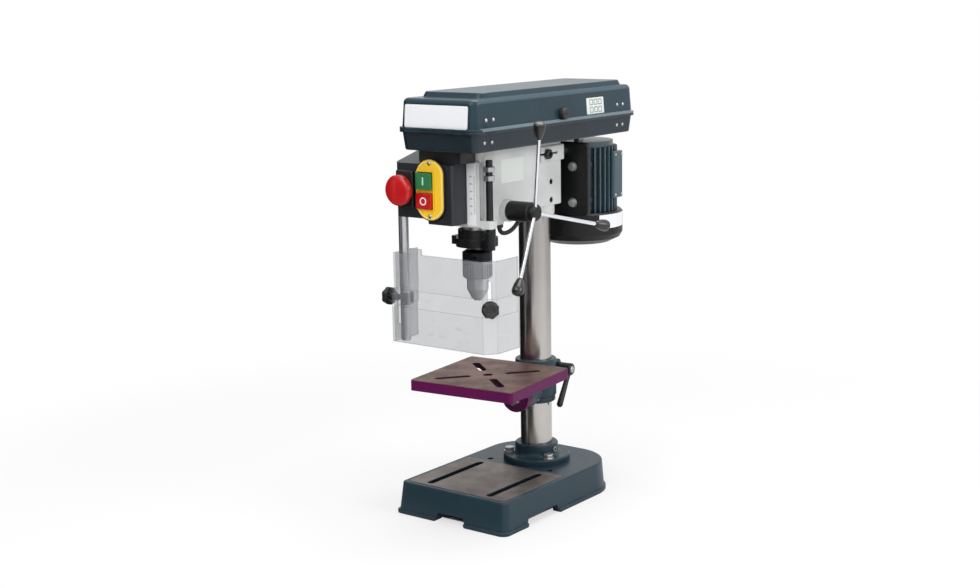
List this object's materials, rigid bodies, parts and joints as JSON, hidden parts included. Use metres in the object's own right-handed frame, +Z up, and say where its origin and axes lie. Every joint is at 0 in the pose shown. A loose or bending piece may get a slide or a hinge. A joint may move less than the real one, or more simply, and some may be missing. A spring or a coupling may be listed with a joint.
{
  "type": "benchtop drill press",
  "caption": "Small pillar drill with a belt cover on top, a three-spoke feed handle, a keyed chuck, a sliding chuck guard, a tilting slotted table and a heavy slotted base.",
  "frame": {"origin": "on the bench plane, midway between the two bench bolt holes of the base", "axes": "+Z up along the column, -Y to the front where the operator stands, +X to the side of the feed handle"},
  "size_m": [0.2398, 0.408, 0.5923],
  "materials": {
    "blue_paint": "satin",
    "plum_paint": "satin",
    "light_paint": "satin",
    "steel": "ground",
    "chrome": "polished",
    "dark_steel": "blackened",
    "black_paint": "satin",
    "black_plastic": "moulded",
    "aluminium": "turned",
    "rubber": "matt",
    "yellow": "moulded",
    "green": "moulded",
    "red": "moulded",
    "clear": "clear"
  },
  "bodies": {
    "frame": {"base": "blue_paint", "column_flange": "blue_paint", "flange_bolts": "steel", "column": "steel", "head_casting": "light_paint", "head_set_screws": "dark_steel", "scale_bracket": "light_paint", "spring_cap": "black_paint", "return_spring": "steel", "pulley_bearings": "steel", "v_belt": "rubber", "belt_tray": "blue_paint", "lid_hinge_pins": "steel", "switch_housing": "black_plastic", "switch_plate": "yellow", "estop_base": "black_plastic", "guard_post": "steel", "motor_lead": "rubber", "cable_glands": "black_plastic"},
    "height_ring": {"height_ring": "blue_paint"},
    "bracket": {"table_bracket": "blue_paint", "bracket_clamp_bolt": "steel", "tilt_bolt": "steel"},
    "table_lock": {"table_lock_lever": "black_paint"},
    "table": {"table": "plum_paint"},
    "quill": {"quill": "steel", "quill_bearings": "steel", "depth_arm": "black_paint", "depth_rod": "dark_steel"},
    "depth_nuts": {"depth_nuts": "steel"},
    "feed": {"feed_shaft": "steel", "feed_hub": "black_paint", "feed_spokes": "chrome", "feed_knobs": "black_plastic"},
    "spindle": {"spindle": "steel", "chuck_body": "dark_steel"},
    "chuck_sleeve": {"chuck_sleeve": "steel"},
    "jaw_1": {"chuck_jaw_1": "steel"},
    "jaw_2": {"chuck_jaw_2": "steel"},
    "jaw_3": {"chuck_jaw_3": "steel"},
    "spindle_pulley": {"spindle_pulley": "aluminium"},
    "motor": {"motor_body": "blue_paint", "motor_end_bell": "black_paint", "motor_plate": "black_paint", "motor_plate_bolts": "steel", "slide_bars": "steel", "terminal_box": "blue_paint"},
    "rotor": {"motor_rotor": "steel", "motor_fan": "black_plastic", "motor_pulley": "aluminium"},
    "lid": {"belt_lid": "blue_paint"},
    "lid_lock": {"lid_lock_screw": "black_plastic"},
    "tension_lock": {"tension_lock_screw": "black_plastic"},
    "start_button": {"start_button": "green"},
    "stop_button": {"stop_button": "red"},
    "estop": {"estop_button": "red"},
    "guard": {"guard_upper_screen": "clear"},
    "guard_lower": {"guard_lower_screen": "clear"},
    "guard_front_knob": {"guard_front_knob": "black_plastic"},
    "guard_post_knob": {"guard_post_knob": "black_plastic"}
  },
  "joints": [
    {"name": "table_lift", "type": "slide", "parent": "frame", "child": "height_ring", "axis": [0, 0, 1], "range_m": [-0.055, 0.038]},
    {"name": "table_swivel", "type": "hinge", "parent": "height_ring", "child": "bracket", "pos_m": [0, 0.043, 0.15], "axis": [0, 0, 1], "range_deg": [-180, 180]},
    {"name": "table_tilt", "type": "hinge", "parent": "bracket", "child": "table", "pos_m": [0.00531, -0.00672, 0.15], "axis": [0.1063, -0.9943, 0], "range_deg": [-45, 45]},
    {"name": "table_lock", "type": "hinge", "parent": "bracket", "child": "table_lock", "pos_m": [-0.00404, 0.08078, 0.174], "axis": [0.9943, 0.1063, 0], "range_deg": [-60, 60]},
    {"name": "quill_slide", "type": "slide", "parent": "frame", "child": "quill", "axis": [0, 0, -1], "range_m": [0, 0.05], "stiffness_N_per_m": 250, "springref_m": -0.14},
    {"name": "feed_turn", "type": "hinge", "parent": "frame", "child": "feed", "pos_m": [0, -0.0658, 0.428], "axis": [1, 0, 0], "range_deg": [0, 360]},
    {"name": "depth_nuts_turn", "type": "slide", "parent": "quill", "child": "depth_nuts", "axis": [0, 0, -1], "range_m": [-0.008, 0.053]},
    {"name": "motor_spin", "type": "hinge", "parent": "motor", "child": "rotor", "pos_m": [0, 0.158, 0.52], "axis": [0, 0, 1], "continuous": true},
    {"name": "pulley_spin", "type": "hinge", "parent": "frame", "child": "spindle_pulley", "pos_m": [0, -0.093, 0.52], "axis": [0, 0, 1], "continuous": true},
    {"name": "spindle_spin", "type": "hinge", "parent": "quill", "child": "spindle", "pos_m": [0, -0.093, 0.4], "axis": [0, 0, 1], "continuous": true},
    {"name": "chuck_sleeve_turn", "type": "hinge", "parent": "spindle", "child": "chuck_sleeve", "pos_m": [0, -0.093, 0.348], "axis": [0, 0, 1], "range_deg": [0, 1265]},
    {"name": "jaw_1_slide", "type": "slide", "parent": "spindle", "child": "jaw_1", "axis": [0.2588, 0, 0.9659], "range_m": [0, 0.024]},
    {"name": "jaw_2_slide", "type": "slide", "parent": "spindle", "child": "jaw_2", "axis": [-0.1294, 0.2241, 0.9659], "range_m": [0, 0.0241]},
    {"name": "jaw_3_slide", "type": "slide", "parent": "spindle", "child": "jaw_3", "axis": [-0.1294, -0.2241, 0.9659], "range_m": [0, 0.0241]},
    {"name": "motor_slide", "type": "slide", "parent": "frame", "child": "motor", "axis": [0, -1, 0], "range_m": [0, 0.012]},
    {"name": "tension_lock_turn", "type": "hinge", "parent": "frame", "child": "tension_lock", "pos_m": [0.033, 0.029, 0.4965], "axis": [1, 0, 0], "range_deg": [0, 180]},
    {"name": "lid_open", "type": "hinge", "parent": "frame", "child": "lid", "pos_m": [-0.0722, 0.043, 0.5436], "axis": [0, -1, 0], "range_deg": [0, 100]},
    {"name": "lid_lock_turn", "type": "hinge", "parent": "lid", "child": "lid_lock", "pos_m": [0.065, 0.021, 0.555], "axis": [1, 0, 0], "range_deg": [0, 90]},
    {"name": "start_press", "type": "slide", "parent": "frame", "child": "start_button", "axis": [0, 1, 0], "range_m": [0, 0.003], "stiffness_N_per_m": 600, "springref_m": -0.002},
    {"name": "stop_press", "type": "slide", "parent": "frame", "child": "stop_button", "axis": [0, 1, 0], "range_m": [0, 0.003], "stiffness_N_per_m": 600, "springref_m": -0.002},
    {"name": "estop_press", "type": "slide", "parent": "frame", "child": "estop", "axis": [0, 1, 0], "range_m": [0, 0.005]},
    {"name": "guard_swing", "type": "hinge", "parent": "frame", "child": "guard", "pos_m": [-0.085, -0.1475, 0.307], "axis": [0, 0, -1], "range_deg": [0, 110]},
    {"name": "guard_lower_slide", "type": "slide", "parent": "guard", "child": "guard_lower", "axis": [0, 0, 1], "range_m": [0, 0.034]},
    {"name": "guard_front_knob_turn", "type": "hinge", "parent": "guard_lower", "child": "guard_front_knob", "pos_m": [0.0673, -0.1547, 0.3084], "axis": [0.7071, -0.7071, 0], "range_deg": [0, 180]},
    {"name": "guard_post_knob_turn", "type": "hinge", "parent": "guard", "child": "guard_post_knob", "pos_m": [-0.097, -0.1475, 0.307], "axis": [-1, 0, 0], "range_deg": [0, 180]}
  ],
  "couplings": [
    {"joint": "feed_turn", "follows": "quill_slide", "rad_per_m": 125},
    {"joint": "pulley_spin", "follows": "motor_spin", "ratio": 0.68421},
    {"joint": "spindle_spin", "follows": "motor_spin", "ratio": 0.68421},
    {"joint": "chuck_sleeve_turn", "follows": "jaw_1_slide", "rad_per_m": 916.3},
    {"joint": "jaw_2_slide", "follows": "jaw_1_slide", "ratio": 1},
    {"joint": "jaw_3_slide", "follows": "jaw_1_slide", "ratio": 1}
  ]
}
